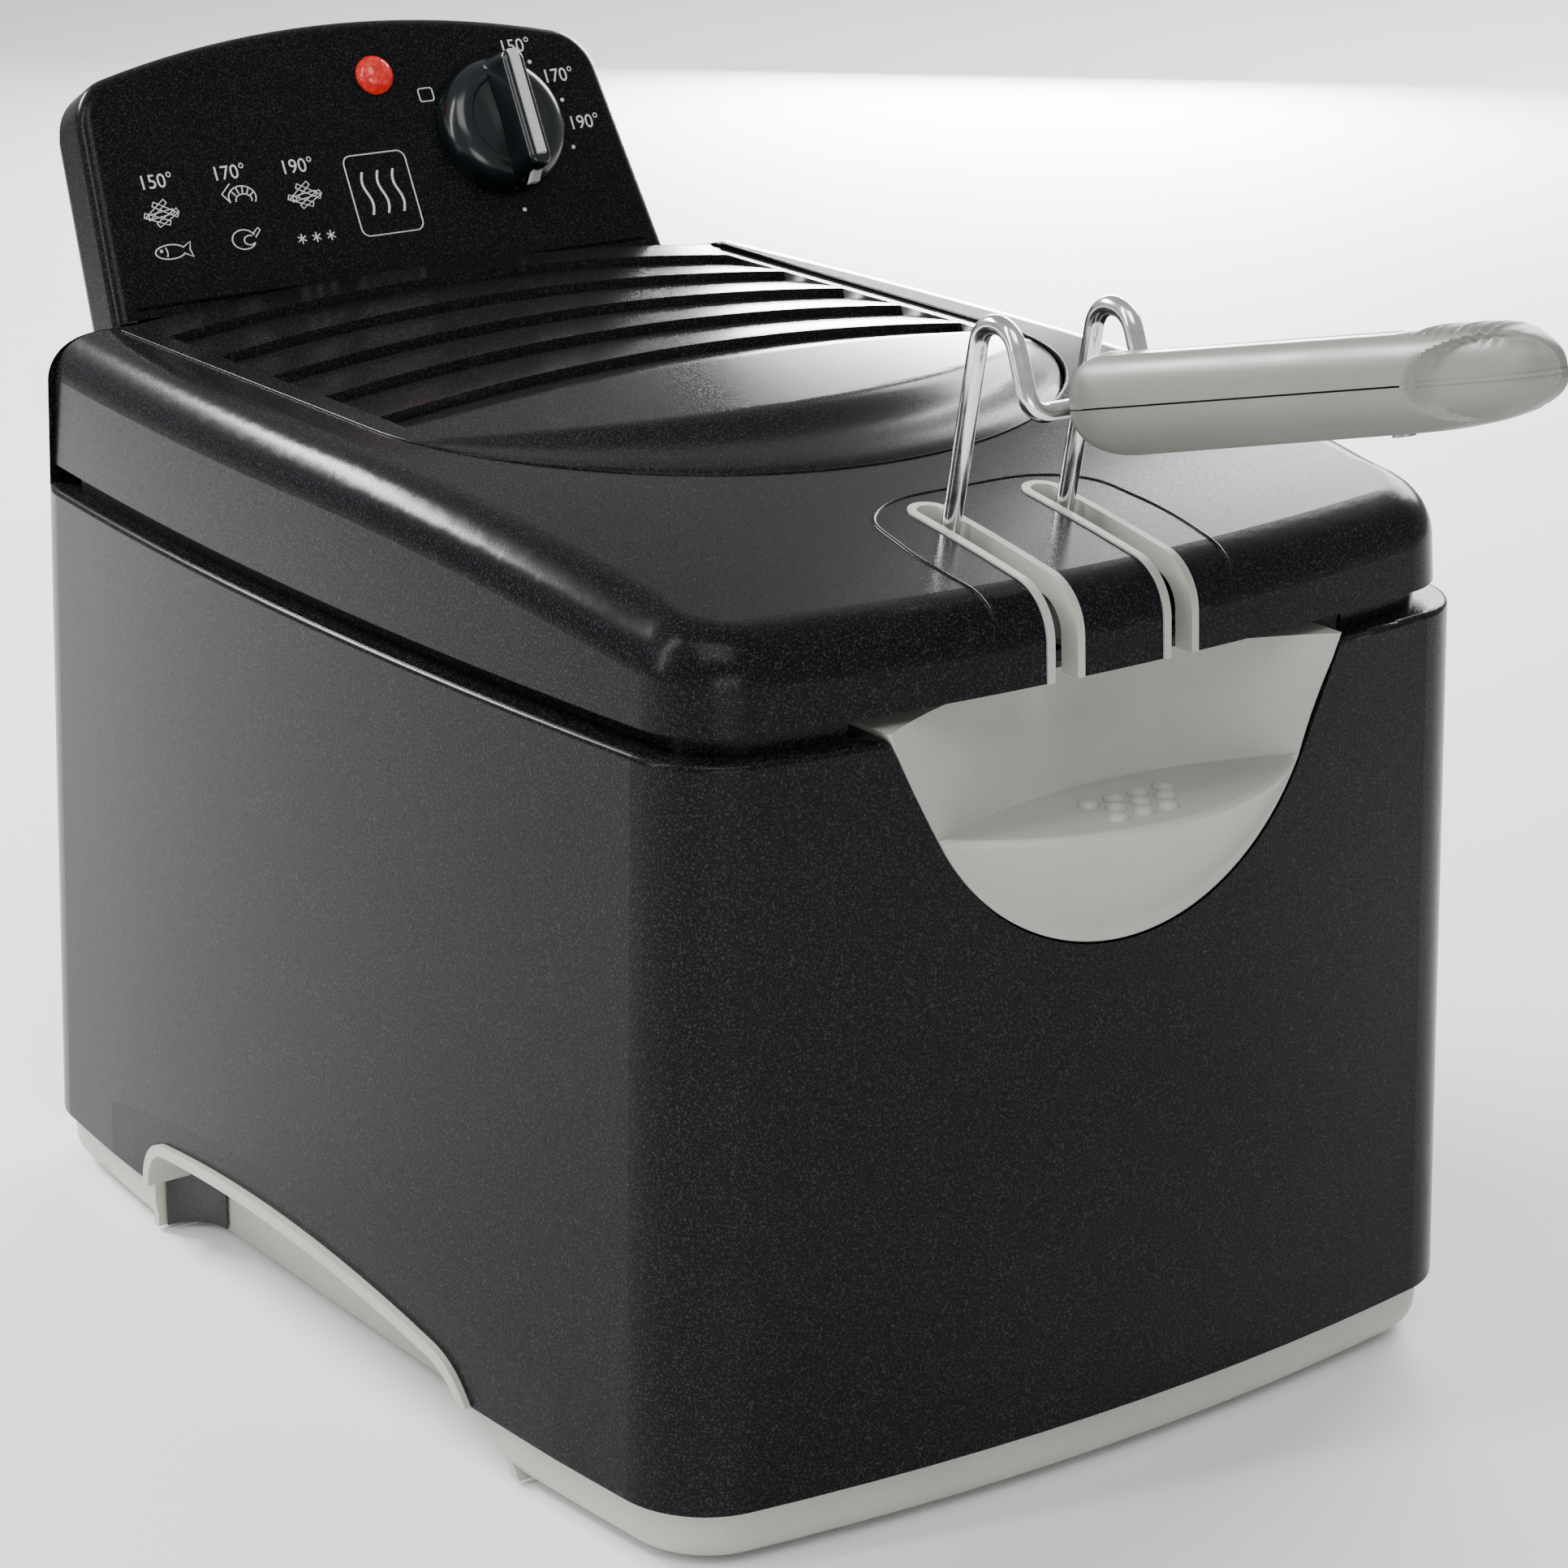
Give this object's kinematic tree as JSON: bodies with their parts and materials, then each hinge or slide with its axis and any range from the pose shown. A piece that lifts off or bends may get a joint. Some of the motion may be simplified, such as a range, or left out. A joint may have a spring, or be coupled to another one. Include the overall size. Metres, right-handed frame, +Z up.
{
  "type": "deep fryer",
  "caption": "Household electric deep fryer: tapered black housing, hinged vented lid with handle slots, upright control panel with a knob, wire basket with a lift-off handle.",
  "frame": {"origin": "on the worktop under the middle of the outer housing, on the underside of the middle foot", "axes": "+Z up; the front with the grip and the basket handle faces -Y; +X is right seen from the front"},
  "size_m": [0.2702, 0.5109, 0.3134],
  "materials": {
    "black_body": "semi-gloss moulded plastic with a fine metallic fleck",
    "grey_plastic": "satin warm light grey moulded plastic",
    "pan_steel": "drawn stainless steel",
    "sheet_steel": "pressed stainless sheet",
    "element_steel": "heat-darkened stainless tube",
    "copper_alloy": "dull copper",
    "red_lens": "clear red moulded lens",
    "lamp_glass": "small neon lamp",
    "knob_black": "polished dark plastic",
    "pointer_grey": "light inlay",
    "shaft_steel": "turned steel",
    "ceramic": "off-white moulded block",
    "black_trim": "matt black moulded plastic",
    "liner_aluminium": "pressed aluminium sheet",
    "seal_rubber": "silicone strip",
    "foot_rubber": "soft rubber",
    "filter_mat": "felted filter mat",
    "basket_wire": "bright plated wire",
    "screw_steel": "zinc-plated screw"
  },
  "bodies": {
    "root": {"outer_housing": "black_body", "base_tray": "grey_plastic", "left_grip_frame": "grey_plastic", "right_grip_frame": "grey_plastic", "front_grip": "grey_plastic", "oil_pan": "pan_steel", "heat_shield": "sheet_steel", "heating_element": "element_steel", "element_bracket": "sheet_steel", "thermostat_bulb": "copper_alloy", "capillary_tube": "copper_alloy", "control_panel": "black_body", "control_back_cover": "black_body", "indicator_lens": "red_lens", "indicator_lamp": "lamp_glass", "thermostat": "ceramic", "thermal_cutout": "ceramic", "terminal_block": "ceramic", "cord_gland": "black_trim", "left_hinge_bracket": "sheet_steel", "right_hinge_bracket": "sheet_steel", "rubber_feet": "foot_rubber", "base_screws": "screw_steel", "back_cover_screws": "screw_steel"},
    "lid": {"lid_shell": "black_body", "slot_liner_left": "grey_plastic", "slot_liner_right": "grey_plastic", "filter_cover": "black_body", "lid_liner": "liner_aluminium", "lid_seal": "seal_rubber", "filter_holder": "sheet_steel", "grease_filter": "filter_mat", "left_hinge_pin": "shaft_steel", "right_hinge_pin": "shaft_steel", "left_hinge_ears": "black_trim", "right_hinge_ears": "black_trim"},
    "basket": {"basket_mesh": "basket_wire", "basket_rim": "basket_wire", "left_handle_socket": "sheet_steel", "right_handle_socket": "sheet_steel"},
    "handle": {"handle_wire_left": "basket_wire", "handle_wire_right": "basket_wire", "grip_lower": "grey_plastic", "grip_upper": "grey_plastic", "grip_screws": "screw_steel"},
    "knob": {"knob": "knob_black", "knob_pointer": "pointer_grey", "thermostat_shaft": "shaft_steel"}
  },
  "joints": [
    {"name": "lid_open", "type": "hinge", "parent": "root", "child": "lid", "pos_m": [0, 0.144, 0.235], "axis": [-1, 0, 0], "range_deg": [0, 88]},
    {"name": "basket_lift", "type": "slide", "parent": "root", "child": "basket", "axis": [0, 0, 1], "range_m": [0, 0.04]},
    {"name": "handle_lift", "type": "slide", "parent": "lid", "child": "handle", "axis": [0, 0, 1], "range_m": [0, 0.04]},
    {"name": "knob_turn", "type": "hinge", "parent": "root", "child": "knob", "pos_m": [0.046, 0.17949, 0.27798], "axis": [0, 0.8788, -0.4772], "range_deg": [0, 290]}
  ],
  "couplings": [
    {"joint": "handle_lift", "follows": "basket_lift", "ratio": 1}
  ]
}
